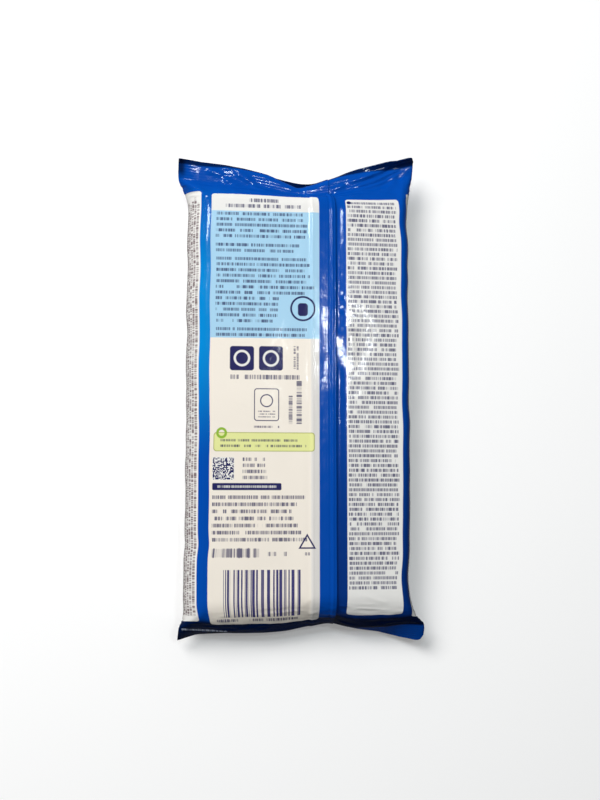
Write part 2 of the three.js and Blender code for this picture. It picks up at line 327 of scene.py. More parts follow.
class Film:
    """The film tube. A point of it is given by its place across and along the tube laid flat."""

    def __init__(self, s):
        self.length, self.width = s.body_length / MM, s.body_width / MM
        self.thickness, self.widening = s.thickness / MM, s.widening / MM
        self.crown, self.seal_length = s.crown / MM, s.seal_length / MM
        self.ply = s.seal_thickness / MM / 2
        self.middle = s.label_thickness / MM + self.thickness / 2
        rise = self.thickness / 2 - self.ply
        left, right = s.left_bulge / MM, s.right_bulge / MM
        # half the body's section, from the left ridge's foot over the back to the right one's
        turn = np.linspace(0, math.pi / 2, ARC_POINTS)
        half = self.width / 2
        left_side = np.stack([left - half - left * np.cos(turn), rise * np.sin(turn)], -1)
        right_side = np.stack([half - right + right * np.sin(turn), rise * np.cos(turn)], -1)
        self.outline = np.vstack([left_side, right_side])
        gaps = np.linalg.norm(np.diff(self.outline, axis=0), axis=1)
        self.measure = np.concatenate([[0], np.cumsum(gaps)])
        self.left_arc, self.flat = self.measure[ARC_POINTS - 1], self.measure[-1]
        self.right_arc = self.flat - self.measure[ARC_POINTS]
        self.fin_root = self.left_arc + s.fin_root / MM
        self.fin_edge = self.fin_root + s.fin_width / MM
        self.upper = PackEnd(self, 1, UPPER_BROW_OUT, UPPER_SEAL)
        self.lower = PackEnd(self, -1, LOWER_BROW_OUT, LOWER_SEAL)

    def width_at(self, along):
        share = np.clip(along / self.length, -0.5, 0.5)
        return self.width - share * self.widening

    def body(self, across, along, side):
        """The body's surface as if the body went on for ever. Side is +1 on the back and -1 on the front."""
        x = np.interp(across, self.measure, self.outline[:, 0])
        z = np.interp(across, self.measure, self.outline[:, 1])
        crown = self.crown * np.sin(math.pi * across / self.flat) ** 2 * (side > 0)
        x = x * self.width_at(along) / self.width
        return np.stack([x, along + 0 * x, self.middle + side * (z + self.ply + crown)], -1)

    def into_side(self, across):
        """0 on the flat of the back, and up to 1 where a side reaches the middle of the pack's height."""
        left = 1 - across / self.left_arc
        right = 1 - (self.flat - across) / self.right_arc
        return np.maximum(0, np.maximum(left, right))

    def place(self, across, along, side):
        """Where points of the film lie: over the body, down a shoulder and out along the end seal."""
        at = np.empty(across.shape + (3,))
        for end in (self.upper, self.lower):
            mine = (along >= 0) if end.out > 0 else (along < 0)
            if mine.any():
                at[mine] = self.place_end(end, across[mine], along[mine], side)
        return at

    def place_end(self, end, across, along, side):
        """Bends the film three times on its way out: at the brow, along the crease from the ridge to the ear,
        and at the fold where the sealed band starts."""
        out = end.out
        brow = end.brow_at(across)
        shoulder = (end.fold_along - brow)[:, None]
        left = across < self.flat / 2
        aside = self.into_side(across)
        a = aside[:, None]
        ridge_across = np.where(left, self.left_arc, self.flat - self.right_arc)
        start = self.body(across, out * brow, side)
        ridge = self.body(ridge_across, out * end.brow_at(ridge_across), side)
        none = 0 * across
        ear_at, _, ear_face = end.seal(np.where(left, 0, self.flat), none)
        fold_at, band, fold_face = end.seal(across, none)
        ear = ear_at + side * self.ply * ear_face
        fold = fold_at + side * self.ply * fold_face
        crease = np.where(a > 0, ridge + (ear - ridge) * a, start)
        least = 0.004
        to_fold = (fold - crease) / (np.maximum(least, 1 - a) * shoulder)
        to_crease = np.where(
            a > least, (crease - start) / (np.maximum(a, least) * shoulder), to_fold
        )
        past = np.abs(along) - brow
        at = self.body(across, along, side)
        for turn, beyond, softness in (
            (to_crease - np.array([0, out, 0]), past, BROW_SOFTNESS),
            (to_fold - to_crease, past - aside * shoulder[:, 0], EAR_SOFTNESS),
            (band - to_fold, past - shoulder[:, 0], FOLD_SOFTNESS),
        ):
            eased = (beyond + softness) ** 2 / (4 * softness)
            bend = np.where(np.abs(beyond) < softness, eased, np.maximum(0, beyond))
            at += turn * bend[:, None]
        beyond = np.maximum(0, past - shoulder[:, 0])
        curled, _, face = end.seal(across, beyond)
        at += curled - fold_at - band * beyond[:, None]
        return at + side * self.ply * (face - fold_face)


def spaced(*stretches):
    """Values over several stretches, each (from, to, spacing), with the first value given once."""
    values = [np.array([stretches[0][0]])]
    for low, high, gap in stretches:
        count = max(1, round(abs(high - low) / gap))
        values.append(np.linspace(low, high, count + 1)[1:])
    return np.concatenate(values)


def columns(film):
    """Lines along the back, from left to right: their places across it, and whether each is on the fin's top
    (1), on its underside (2) or on the film itself (0)."""
    root, edge = film.fin_root, film.fin_edge
    left = spaced((0, film.left_arc, 1.0), (film.left_arc, root, 1.05))
    ramp = spaced((root, root + FIN_RAMP, 0.4))[1:]
    top = spaced((root + FIN_RAMP, edge, 0.32))[1:]
    under = spaced((edge, root + FIN_FREE, 1.4))
    below = spaced((root + FIN_FREE, edge, 1.4))
    right = spaced(
        (edge, edge + 5, 0.5),
        (edge + 5, film.flat - film.right_arc, 1.05),
        (film.flat - film.right_arc, film.flat, 0.95),
    )[1:]
    across = np.concatenate([left, ramp, top, under, below, right])
    counts = [len(stretch) for stretch in (left, ramp, top, under, below, right)]
    return across, np.repeat([0, 1, 1, 2, 0, 0], counts)


def rows(film):
    """Lines across the film, from the lower end to the upper one, closest over the seals and shoulders."""
    lower, upper = film.lower, film.upper
    half = film.length / 2
    return spaced(
        (-lower.fold_along - film.seal_length, -lower.fold_along + 1.2, 0.24),
        (-lower.fold_along + 1.2, -half + 5, 0.4),
        (-half + 5, half - 8, 1.15),
        (half - 8, upper.fold_along - 1.2, 0.4),
        (upper.fold_along - 1.2, upper.fold_along + film.seal_length, 0.24),
    )


def cloud(x, y, size, seed):
    """Smooth random heights from -1 to 1, in bumps of about the given size."""
    lattice = np.random.default_rng(seed).uniform(-1, 1, (LATTICE, LATTICE))
    x, y = x / size + LATTICE / 2, y / size + LATTICE / 2
    i, j = np.floor(x).astype(int), np.floor(y).astype(int)
    u, v = x - i, y - j
    u, v = u * u * (3 - 2 * u), v * v * (3 - 2 * v)
    i, j = i % LATTICE, j % LATTICE
    k, n = (i + 1) % LATTICE, (j + 1) % LATTICE
    low = lattice[i, j] * (1 - u) + lattice[k, j] * u
    high = lattice[i, n] * (1 - u) + lattice[k, n] * u
    return low * (1 - v) + high * v


# Creases that the photograph shows in the back, each from one point to another, with its half width and its
# height where it starts and where it ends. Points are across the flat tube and along it.
CREASES = (
    # from each upper corner of the filled body out to the ear
    (4.5, 99.0, 11.6, 82.5, 1.6, 0.07, 0.14),
    (102.3, 97.2, 93.9, 83.5, 1.0, 0.3, 0.3),
    # the folds over the upper right shoulder
    (72.5, 97.3, 95, 99.6, 1.1, 0.5, 0.6),
    (73.5, 94.6, 100, 97.0, 1.0, 0.55, 0.5),
    (74.5, 92.4, 103, 95.4, 1.1, 0.45, 0.55),
    (79.5, 98.2, 86, 98.8, 0.9, 0.2, 0.45),
    (65, 95.2, 73, 96.4, 0.9, 0.2, 0.4),
    (88.3, 88, 97.5, 94.6, 1.4, 0.2, 0.45),
    # the short folds over the upper left shoulder
    (12, 99.3, 20, 97.0, 1.2, 0.6, 0.15),
    (19, 95.7, 27, 92.4, 1.3, 0.65, 0.15),
    (19, 100.4, 23.5, 99.8, 0.9, 0.45, 0.15),
    (23.5, 100.1, 29, 99.0, 0.9, 0.45, 0.15),
    (24, 98.3, 31.5, 97.2, 1.2, 0.6, 0.15),
    (27.5, 96.8, 33.5, 95.4, 1.2, 0.55, 0.15),
    (31, 94.4, 38, 90.4, 1.3, 0.6, 0.15),
    (38, 94, 50, 90, 1.5, 0.25, 0.1),
    # small ones over the lower shoulder and where the fin runs into it
    (16, -88, 30, -91.5, 1.0, 0.2, 0.2),
    (50, -84, 55.5, -78, 0.9, 0.14, 0.14),
    (53, -88, 58, -84.5, 0.8, 0.16, 0.16),
    (47, -87, 53, -89.5, 0.8, 0.2, 0.2),
    (70, -88, 84, -91, 1.0, 0.22, 0.22),
    (74.5, -77, 86.5, -81.5, 0.8, 0.1, 0.25),
    # beside the fin
    (66.5, 42.6, 69.5, 42.4, 0.5, 0.2, 0.2),
    (66.5, 36.4, 70.0, 36.0, 0.5, 0.25, 0.25),
    (66.5, -82.4, 69.5, -82.9, 0.5, 0.2, 0.2),
)


def creased(c, t):
    """The height of all the creases, which taper off at both ends."""
    height = 0 * c
    for c0, t0, c1, t1, width, high, low in CREASES:
        run = np.array([c1 - c0, t1 - t0])
        reach = np.hypot(*run)
        run = run / reach
        on = (c - c0) * run[0] + (t - t0) * run[1]
        off = (c - c0) * run[1] - (t - t0) * run[0]
        share = np.clip(on / reach, 0, 1)
        taper = smooth(share, 0, 0.25) * smooth(share, 1, 0.8)
        height += (high + (low - high) * share) * taper * np.exp(-((off / width) ** 2))
    return height


def relief(film, c, t, side):
    """How far the film stands off its smooth shape, in millimetres."""
    upper = film.upper.fold_along
    lower = film.lower.fold_along
    fold = np.where(t > 0, upper, lower)
    brow = np.where(t > 0, film.upper.brow_at(c), film.lower.brow_at(c))
    past = np.abs(t) - fold
    shoulder = smooth(np.abs(t), brow - 4, brow + 3) * smooth(past, 2, -1.5)
    aside = smooth(film.into_side(c), 0.0, 0.35)
    seal = smooth(past, -0.3, 0.6)
    taut = smooth(np.abs(c - film.fin_edge - 2), 10, 6) * smooth(np.abs(t - HOLLOW_ALONG), 14, 9)
    h = 0.08 * cloud(c, t, 13, 1) + 0.03 * cloud(c, t, 5.5, 2)
    h = h * (1 - seal) * (1 - taut * (side > 0))
    if side < 0:
        # the front is flat under the label
        label = smooth(np.abs(c - film.flat / 2), 33, 36) + smooth(np.abs(t), 58, 62)
        h = np.minimum(h, 0.08) * np.clip(label, 0, 1)
    # the shoulders crumple along folds that run out towards the ears
    lean = (c - film.flat / 2) / film.flat
    along = np.abs(t) - 7 * np.abs(lean)
    fine = 1 - 2 * np.abs(cloud(c, along * 3.2, 7, 3))
    sharp = 1 - 2 * np.abs(cloud(c + 40, along * 2.4, 3.2, 4))
    h += shoulder * (0.16 * fine + 0.06 * sharp)
    # the sides dimple between the ridges
    h += aside * (1 - shoulder) * (1 - seal) * 0.16 * cloud(c, t, 7, 5)
    # the crimping of the sealed bands
    rib = np.sin(2 * math.pi * past / RIB_PITCH)
    worn = 0.75 + 0.25 * cloud(c, t, 9, 6)
    deep = np.where(t > 0, UPPER_RIB_HEIGHT, LOWER_RIB_HEIGHT)
    h += side * seal * (deep * rib * worn + 0.06 * cloud(c, t * 0.4, 4, 7))
    if side > 0:
        reach = np.where(c < film.fin_root, *ROOT_RISE_REACH)
        ridge = ROOT_RISE * np.exp(-(((c - film.fin_root) / reach) ** 2))
        h += ridge * (1 - seal) * (1 - shoulder)
        h += creased(c, t)
        h += beside_fin(film, c, t) * (1 - seal)
    return h


def beside_fin(film, c, t):
    """The trough beside the fin's free edge, which opens into a shallow hollow. The hollow's bottom runs
    aslant, as its highlight does."""
    d = c - film.fin_edge
    hollow = smooth(np.abs(t - HOLLOW_ALONG), 9.5, 5) * smooth(d, 9, 6) * (d > -1)
    trough = -TROUGH_DEPTH * np.exp(-(((d - 1.2) / 1.8) ** 2)) * (d > -1)
    bottom = 0.3 - (t - HOLLOW_ALONG) * 0.37
    return trough * (1 - hollow) + 0.0075 * (d - bottom) ** 2 * hollow - 0.1 * hollow


def fin_profile(film, d, t, in_seal):
    """How high the fin's top lies over the film, across its width. Its free edge stands off by turns, and
    beads and a groove run along it, where the jaws that sealed it pressed."""
    share = d / (film.fin_edge - film.fin_root)
    loose = 0.5 + 0.35 * np.sin(t / 17) + 0.2 * np.sin(t / 6.1 + 1)
    level = 0.3 * ROOT_RISE * (1 - np.exp(-((d / ROOT_RISE_REACH[1]) ** 2)))
    h = FIN_HEIGHT + level + 0.35 * share**2 * loose
    for at, half_width, bead in FIN_BEADS:
        h += bead * np.exp(-(((d - at) / half_width) ** 2))
    h += 0.03 * cloud(d, t, 4, 8)
    return h * (1 - in_seal) + PRESSED_FIN_HEIGHT * in_seal


def shifted(film, c, t):
    """How far dents and unevenness in the sides move the film to the right."""
    right = smooth(c, 76, film.flat - film.right_arc)
    left = smooth(c, 26, film.left_arc)

    def dents(side):
        return sum(push * np.exp(-(((t - at) / half) ** 2)) for at, half, push in side)

    dx = right * (dents(RIGHT_DENTS) + 0.35 * cloud(0 * t, t, 11, 9))
    dx += left * (dents(LEFT_DENTS) + 0.3 * cloud(0 * t, t, 13, 10))
    return dx * smooth(np.abs(t), 92, 80)


def rounded(film, c, t):
    """Draws the sealed bands in at their right corners, which are rounded over."""
    off = np.clip(film.flat - c, 0, SEAL_CORNER)
    cut = SEAL_CORNER - np.sqrt(SEAL_CORNER**2 - (SEAL_CORNER - off) ** 2)
    fold = np.where(t > 0, film.upper.fold_along, film.lower.fold_along)
    return t - np.sign(t) * cut * smooth(np.abs(t) - fold, 0, film.seal_length)


def film_piece(film, materials):
    """The film as two sheets, the back with its fin and the plain front, bridged round their rims."""
    across, layer = columns(film)
    along = rows(film)
    wide, tall = len(across), len(along)
    c, t = np.meshgrid(across, along)
    flat_c, _ = np.meshgrid(np.linspace(0, film.flat, wide), along)
    flat_t, t = rounded(film, flat_c, t), rounded(film, c, t)
    fold = np.where(t > 0, film.upper.fold_along, film.lower.fold_along)
    in_seal = smooth(np.abs(t) - fold, -3, 0.5)
    d = np.clip(c - film.fin_root, 0, film.fin_edge - film.fin_root)
    top = fin_profile(film, d, t, in_seal) * np.clip((c - film.fin_root) / FIN_RAMP, 0, 1)
    under = top - (FIN_THICKNESS * (1 - in_seal) + PRESSED_FIN_THICKNESS * in_seal)
    lift = np.where(layer == 1, top, np.where(layer == 2, under, 0))

    def face(side):
        """The way the film's surface looks, taken from an even grid as the fin turns back on itself."""
        even = film.place(flat_c, flat_t, side)
        return side * unit(np.cross(np.gradient(even, axis=1), np.gradient(even, axis=0)))

    normal = np.empty(c.shape + (3,))
    looks = face(1)
    for i in range(tall):
        for k in range(3):
            normal[i, :, k] = np.interp(across, flat_c[i], looks[i, :, k])
    back = film.place(c, t, 1)
    back = back + unit(normal) * (lift + relief(film, c, t, 1))[..., None]
    back[..., 0] += shifted(film, c, t)
    front = film.place(flat_c, flat_t, -1) + face(-1) * relief(film, flat_c, flat_t, -1)[..., None]
    front[..., 0] += shifted(film, flat_c, flat_t) * (1 - smooth(film.into_side(flat_c), 0.5, 0))

    mesh = bmesh.new()
    for places in (back, front):
        made = bmesh.ops.create_grid(mesh, x_segments=wide - 1, y_segments=tall - 1, size=1)
        for k, vert in enumerate(made["verts"]):
            vert.co = places[k // wide, k % wide] * MM
    mesh.verts.index_update()
    bmesh.ops.bridge_loops(mesh, edges=[e for e in mesh.edges if e.is_boundary])
    round_front = np.where(flat_c < film.flat / 2, -flat_c, 2 * film.flat - flat_c)
    across = np.concatenate([c.ravel(), round_front.ravel()])
    along = np.concatenate([t.ravel(), flat_t.ravel()])
    lay_print(film, mesh, across, along, c.size)
    bmesh.ops.recalc_face_normals(mesh, faces=mesh.faces)
    return finished(mesh, "film_pack", materials)


def lay_print(film, mesh, across, along, back_count):
    """Gives each vertex its place on the film laid flat, as a UV map, and each face its print."""
    places = mesh.loops.layers.uv.new("film")
    left_panel_starts, right_panel_starts, right_panel_ends = PANEL_EDGES
    for f in mesh.faces:
        f.smooth = True
        spread = [across[v.index] for v in f.verts]
        over_the_join = max(spread) - min(spread) > film.flat
        for loop in f.loops:
            k = loop.vert.index
            u = across[k]
            if k >= back_count and over_the_join and u < 0:
                u += 2 * film.flat
            loop[places].uv = (u / UV_UNIT, along[k] / UV_UNIT)
        middle = sum(loop[places].uv.x for loop in f.loops) / len(f.loops) * UV_UNIT
        if left_panel_starts < middle < right_panel_starts:
            f.material_index = 1 if along[f.verts[0].index] > PANEL_SPLIT else 2
        elif right_panel_starts <= middle < right_panel_ends:
            f.material_index = 3


def finished(mesh, name, materials):
    """Puts a modelled piece in the scene, in the frame's place."""
    bmesh.ops.translate(mesh, verts=mesh.verts, vec=Vector(MIDDLE))
    data = bpy.data.meshes.new(name)
    mesh.to_mesh(data)
    mesh.free()
    for material in materials:
        data.materials.append(material)
    piece = bpy.data.objects.new(name, data)
    bpy.context.scene.collection.objects.link(piece)
    return piece


def new_material(name):
    """An empty material and its node tree."""
    material = bpy.data.materials.new(name)
    material.use_nodes = True
    material.node_tree.nodes.clear()
    return material, material.node_tree


def add(tree, kind, inputs=(), **settings):
    """Adds a node with its settings, and sets or links its inputs. Returns its first output, or the node
    itself if it has none."""
    node = tree.nodes.new("ShaderNode" + kind)
    for key, value in settings.items():
        setattr(node, key, value)
    pairs = inputs.items() if isinstance(inputs, dict) else enumerate(inputs)
    for key, value in pairs:
        if isinstance(value, bpy.types.NodeSocket):
            tree.links.new(value, node.inputs[key])
        elif value is not None:
            node.inputs[key].default_value = value
    return node.outputs[0] if len(node.outputs) else node


def maths(tree, operation, *values):
    """A maths node's result."""
    return add(tree, "Math", values, operation=operation)


class Print:
    """The print on the film, in millimetres across and along it. Each field is laid over those before it."""

    def __init__(self, tree, film, first):
        self.tree = tree
        uv = add(tree, "UVMap", uv_map="film")
        self.place = self.vector("MULTIPLY", uv, (UV_UNIT,) * 3)
        split = add(tree, "SeparateXYZ", [self.place]).node
        self.x, self.y = split.outputs["X"], split.outputs["Y"]
        # how far right a place is, on the back and on the front alike
        self.east = self.math("MINIMUM", self.x, self.math("SUBTRACT", 2 * film.flat, self.x))
        self.colour = add(tree, "RGB")
        self.colour.default_value = (*first, 1)

    def math(self, operation, *values):
        return maths(self.tree, operation, *values)

    def vector(self, operation, *values):
        return add(self.tree, "VectorMath", values, operation=operation)

    def step(self, value, zero, one, low=0.0, high=1.0):
        """Runs smoothly from low where the value is zero's to high where it is one's."""
        return add(
            self.tree,
            "MapRange",
            [value, zero, one, low, high],
            interpolation_type="SMOOTHSTEP",
            clamp=False,
        )

    def box(self, x0, y0, x1, y1, corner=0.3):
        """A mask that is 1 inside a round-cornered rectangle."""
        centre = ((x0 + x1) / 2, (y0 + y1) / 2, 0)
        half = (abs(x1 - x0) / 2 - corner, abs(y1 - y0) / 2 - corner, 1e6)
        off = self.vector("ABSOLUTE", self.vector("SUBTRACT", self.place, centre))
        off = self.vector("MAXIMUM", self.vector("SUBTRACT", off, half), (0, 0, 0))
        away = self.vector("LENGTH", off).node.outputs["Value"]
        return self.step(away, corner + PRINT_EDGE, corner - PRINT_EDGE)

    def lay(self, mask, colour):
        """Lays a colour over the print where the mask is 1."""
        inputs = {"Factor": mask, 6: self.colour, 7: (*colour, 1)}  # 6 and 7 are a mix's two colours
        self.colour = add(self.tree, "Mix", inputs, data_type="RGBA").node.outputs[2]

    def ring(self, x, y, outer, wall):
        """A mask that is 1 on a ring of the given outer radius."""
        off = self.vector("SUBTRACT", self.place, (x, y, 0))
        return self.outline(self.vector("LENGTH", off).node.outputs["Value"], outer, wall)

    def outline(self, away, outer, wall):
        """A mask that is 1 where a distance is less than the outer one by no more than the wall."""
        away = self.math("ABSOLUTE", self.math("SUBTRACT", away, outer - wall / 2))
        return self.step(away, wall / 2 + PRINT_EDGE, wall / 2 - PRINT_EDGE)

    def lines(self, x0, top, x1, pitch, count, height, ragged, seed, upright=False, full=0.33):
        """A mask of plain broken rules in place of small print. The rules stop short of x1 by up to the
        ragged share, and have gaps where the noise for words is under full. The strokes are coarser than
        those of real print, which are too fine to show."""
        t = self.tree
        run, fall = (self.y, self.x) if upright else (self.x, self.y)
        row = self.math("DIVIDE", self.math("SUBTRACT", top, fall), pitch)
        index = self.math("FLOOR", row)
        cell = add(t, "CombineXYZ", [run, self.math("MULTIPLY_ADD", index, 7.31, seed), 0.0])
        words, strokes = (
            add(
                t,
                "TexNoise",
                {"Vector": cell, "Scale": per_height / height, "Detail": 1.0, "Roughness": rough},
                noise_dimensions="2D",
            )
            for per_height, rough in ((0.4, 0.6), (3.1, 0.7))
        )
        inked = self.step(strokes, 0.36, 0.6, 0.12, 0.85)
        within = self.math("ABSOLUTE", self.math("SUBTRACT", self.math("FRACT", row), 0.5))
        within = self.math("MULTIPLY_ADD", strokes, -0.22 * height / pitch, within)
        half = height / pitch / 2 - 0.11 * height / pitch
        mask = self.math("MULTIPLY", self.step(within, half + 0.06, half - 0.05), inked)
        mask = self.math("MULTIPLY", mask, self.step(words, full, full + 0.04))
        end = add(t, "TexWhiteNoise", {"W": self.math("ADD", index, seed)}, noise_dimensions="1D")
        end = self.math("MULTIPLY_ADD", end, -ragged * abs(x1 - x0), max(x0, x1))
        for more in (
            self.math("LESS_THAN", run, end),
            self.math("GREATER_THAN", run, min(x0, x1)),
            self.math("GREATER_THAN", row, 0.0),
            self.math("LESS_THAN", row, float(count)),
        ):
            mask = self.math("MULTIPLY", mask, more)
        return mask

    def rules(self, colour, *rows):
        """Lays one field of rules for each row of values that lines takes."""
        for row in rows:
            self.lay(self.lines(*row), colour)

    def bars(self, x0, y0, x1, y1):
        """A mask of upright bars of uneven width, most of them about half a step wide."""
        step, seed = 1.2, 3.0
        spread = add(
            self.tree,
            "TexNoise",
            {"W": self.math("ADD", self.x, seed), "Scale": 1 / step, "Detail": 1.0, "Roughness": 0.8},
            noise_dimensions="1D",
        )
        return self.math("MULTIPLY", self.step(spread, 0.49, 0.52), self.box(x0, y0, x1, y1, 0.1))

    def triangle(self, x, y, reach, wall):
        """A mask of the outline of a triangle with its point up. Reach is from its middle to a side."""
        off = self.vector("SUBTRACT", self.place, (x, y, 0))
        sides = []
        for turn in (-90, 30, 150):
            way = (math.cos(math.radians(turn)), math.sin(math.radians(turn)), 0)
            sides.append(self.vector("DOT_PRODUCT", off, way).node.outputs["Value"])
        away = self.math("MAXIMUM", self.math("MAXIMUM", *sides[:2]), sides[2])
        return self.outline(away, reach, wall)


def ground(tree, film, inks):
    """The film's blue ground: lightest beside the left panel's upper half, darker low on the right side
    partly as print and partly as painted shade, and painted shade at the lower end and along the upper band's
    rim.
    """
    p = Print(tree, film, inks.blue)
    glow = p.step(p.math("ABSOLUTE", p.math("SUBTRACT", p.x, 12.0)), 16.0, 2.0)
    high = p.step(p.math("ABSOLUTE", p.math("SUBTRACT", p.y, 32.0)), 62.0, 8.0)
    p.lay(p.math("MULTIPLY", glow, high), inks.azure)
    # Partly print and partly painted shade: darker towards the lower end and right of the fin's free edge,
    # where the hollow beside the fin and the right side lie in shade.
    deep = p.step(p.y, 48.0, -78.0, 0.0, 1.0)
    east = p.step(p.east, 64.9, 66.2, 0.08, 0.85)
    p.lay(p.math("MULTIPLY", deep, east), inks.navy_print_and_shade)
    # painted shade: the lower shoulder and its band, which face away from the light, darkened almost to black
    p.lay(p.step(p.y, -87.0, -90.5, 0.0, 0.9), inks.deep)
    # painted shade: the upper band's rim, which turns away from the light, is dark too, and wider towards the
    # right ear
    rim = p.math("MULTIPLY_ADD", p.step(p.east, 82.0, 99.0), 3.2, p.y)
    fold = film.upper.fold_along
    p.lay(p.step(rim, fold + 6.1, fold + 7.1, 0.0, 0.85), inks.deep)
    return p


def right_band(p, film, inks):
    """The blue laid back over the lower end's painted shade on the right half of the lower sealed band, which
    faces up into the light.
    """
    fold = -film.lower.fold_along
    band = p.step(p.y, fold + 0.3, fold - 0.6, 0.0, 0.65)
    p.lay(p.math("MULTIPLY", p.step(p.east, 68.0, 78.0), band), inks.blue)


def side_print(p, film, inks):
    """The white panel with plain rules that runs up each side, round its ridge."""
    # painted shade: the dark tip of the left upper ear, which turns away from the light
    ear = p.step(p.math("ABSOLUTE", p.x), 4.0, 1.5)
    p.lay(p.math("MULTIPLY", ear, p.step(p.y, 94.0, 98.0, 0.0, 0.8)), inks.deep)
    right_band(p, film, inks)
    # painted highlight: glints along the lower end's fold
    painted_fold_glints(p, film, inks)
    pitch = 1.6
    for low, high in ((-11, 10.4), (film.flat - 7.3, film.flat + 14)):
        p.lay(p.box(low, -89.5, high, 85, 1.2), inks.white)
        count = int((high - low - 1.4) / pitch)
        p.rules(inks.brown, (-86, high - 0.6, 82, pitch, count, 1.2, 0.02, 3.0, True, 0.16))


def painted_fold_glints(p, film, inks):
    """Painted highlight: the white specks along the lower end's left fold are glints, laid as colour."""
    top = 0.9 - film.lower.fold_along
    p.rules(inks.painted_glint, (1.2, top, 20.5, 1.3, 1, 1.15, 0.0, 131, False, 0.25))


def left_panel(p, inks):
    """The left panel's cream field, greyed with painted shade where it lies over the fin."""
    p.lay(p.box(14.8, -91, 58.5, 84.1, 1.3), inks.cream)
    # painted shade over the fin's root
    over = p.step(p.x, 54.6, 55.6, 0.0, 0.6)
    p.lay(p.math("MULTIPLY", over, p.box(50, -91, 58.5, 84.1, 1.3)), inks.painted_shade_over_fin)


def upper_left_print(p, film, inks):
    """The left panel's upper part: a white header, a sky field, and plain rules and boxes."""
    ink = inks.ink
    left_panel(p, inks)
    field = p.box(14.8, 20, 58.5, 84.1, 1.3)
    p.lay(p.math("MULTIPLY", field, p.math("GREATER_THAN", p.y, 24.5)), inks.sky)
    p.lay(p.math("MULTIPLY", field, p.math("GREATER_THAN", p.y, 75.7)), inks.white)
    # rules on the header and on the sky field
    p.rules(
        ink,
        (30, 82.2, 42, 3.0, 1, 1.9, 0.0, 2),
        (20.5, 79.2, 51, 2.6, 1, 1.5, 0.0, 4),
        (16.8, 75.7, 56.5, 2.26, 5, 1.15, 0.12, 5),
        (16.8, 63.1, 56.5, 2.26, 2, 1.15, 0.3, 9),
        (16.9, 57.5, 56.5, 2.27, 7, 1.15, 0.1, 13),
        (17, 41.6, 44, 2.27, 5, 1.15, 0.2, 21),
        (17, 29.2, 55, 2.27, 2, 1.15, 0.15, 33),
    )
    # plain rings and boxes with their rules
    p.lay(p.ring(51.9, 36.6, 5.1, 0.75), ink)
    p.lay(p.box(49.9, 33.6, 53.9, 38.8, 1.2), ink)
    p.lay(p.box(22.7, 11.5, 32.3, 21.2, 1.1), ink)
    p.lay(p.box(34.3, 11.6, 43.9, 21.3, 1.1), ink)
    p.lay(p.ring(27.5, 16.4, 3.3, 0.9), inks.white)
    p.lay(p.ring(39.1, 16.4, 3.3, 0.9), inks.white)
    p.rules(
        ink,
        (11.9, 50.4, 21.5, 1.2, 2, 0.8, 0.0, 40, True),
        (23, 10.2, 50.5, 2.6, 1, 1.7, 0.0, 44),
    )
    p.lay(p.box(32.4, -8.6, 42.4, 4.4, 1.2), ink)
    p.lay(p.box(32.75, -8.25, 42.05, 4.05, 0.9), inks.cream)
    p.lay(p.ring(37.4, -0.5, 2.6, 0.45), ink)
    p.rules(
        ink,
        (34, -4.2, 41, 1.1, 3, 0.5, 0.1, 51),
        (32.4, -10.1, 42.6, 1.6, 1, 0.8, 0.0, 55),
        (-9.7, 48.2, 1.8, 2.4, 1, 1.5, 0.0, 61, True),
        (-9.7, 52, 7.5, 3.2, 1, 2.0, 0.0, 66, True),
    )
    # the rounded box
    p.lay(p.box(16.3, -20.7, 56.6, -13.1, 1.3), inks.olive)
    p.lay(p.box(16.6, -20.4, 56.3, -13.4, 1.1), inks.lime)
    p.rules(ink, (19, -15.2, 54, 2.2, 2, 0.9, 0.15, 70))
    p.lay(p.ring(19.5, -13.4, 2.2, 1.0), inks.leaf)


def lower_left_print(p, film, inks):
    """The left panel's lower part: plain rules, a chequered square, a dark bar, a sign and upright bars."""
    ink = inks.ink
    left_panel(p, inks)
    # painted highlight: glints along the lower end's fold
    painted_fold_glints(p, film, inks)
    p.lay(p.box(16, -32, 24.7, -23, 0.3), inks.white)
    cells = p.vector("FLOOR", p.vector("MULTIPLY", p.place, (1 / CHEQUER,) * 3))
    cells = add(p.tree, "TexWhiteNoise", {"Vector": cells}, noise_dimensions="2D")
    cells = p.math("GREATER_THAN", cells, 0.5)
    p.lay(p.math("MULTIPLY", cells, p.box(16.2, -31.8, 24.5, -23.2, 0.2)), ink)
    p.rules(ink, (28, -22.6, 38.6, 2.4, 4, 1.3, 0.25, 80))
    p.lay(p.box(16, -36, 43.4, -33.2, 0.5), ink)
    p.rules(inks.white, (18, -33.7, 41.5, 1.8, 1, 0.9, 0.0, 88))
    p.rules(
        ink,
        (16, -37.4, 54, 2.78, 7, 1.35, 0.22, 91),
        (15.9, -58.2, 34.6, 5.0, 1, 3.4, 0.0, 97, False, 0.1),
        (38.1, -59.6, 45.6, 3.0, 1, 1.6, 0.0, 99),
    )
    p.lay(p.triangle(53.6, -57.1, 2.0, 0.6), ink)
    p.rules(ink, (52.7, -60.2, 54.8, 1.8, 1, 1.2, 0.0, 103))
    p.lay(p.bars(20.5, -87, 51, -67.3), inks.bars)
    p.rules(ink, (17.4, -87.4, 50, 2.4, 1, 1.5, 0.0, 107))


def right_print(p, film, inks):
    """The narrow right panel, closely set with plain rules."""
    right_band(p, film, inks)
    p.lay(p.box(69.8, -87.3, 92.5, 83.1, 1.3), inks.white)
    p.rules(inks.ink, (70.4, 81.9, 91.2, 1.945, 81, 1.2, 0.06, 120, False, 0.3))
    p.lay(p.ring(71.2, 81.1, 0.9, 0.9), inks.ink)


# The film's materials, in the order of the material numbers that lay_print gives.
PRINTS = {
    "film_printed_side": side_print,
    "film_printed_upper_left": upper_left_print,
    "film_printed_lower_left": lower_left_print,
    "film_printed_right": right_print,
}


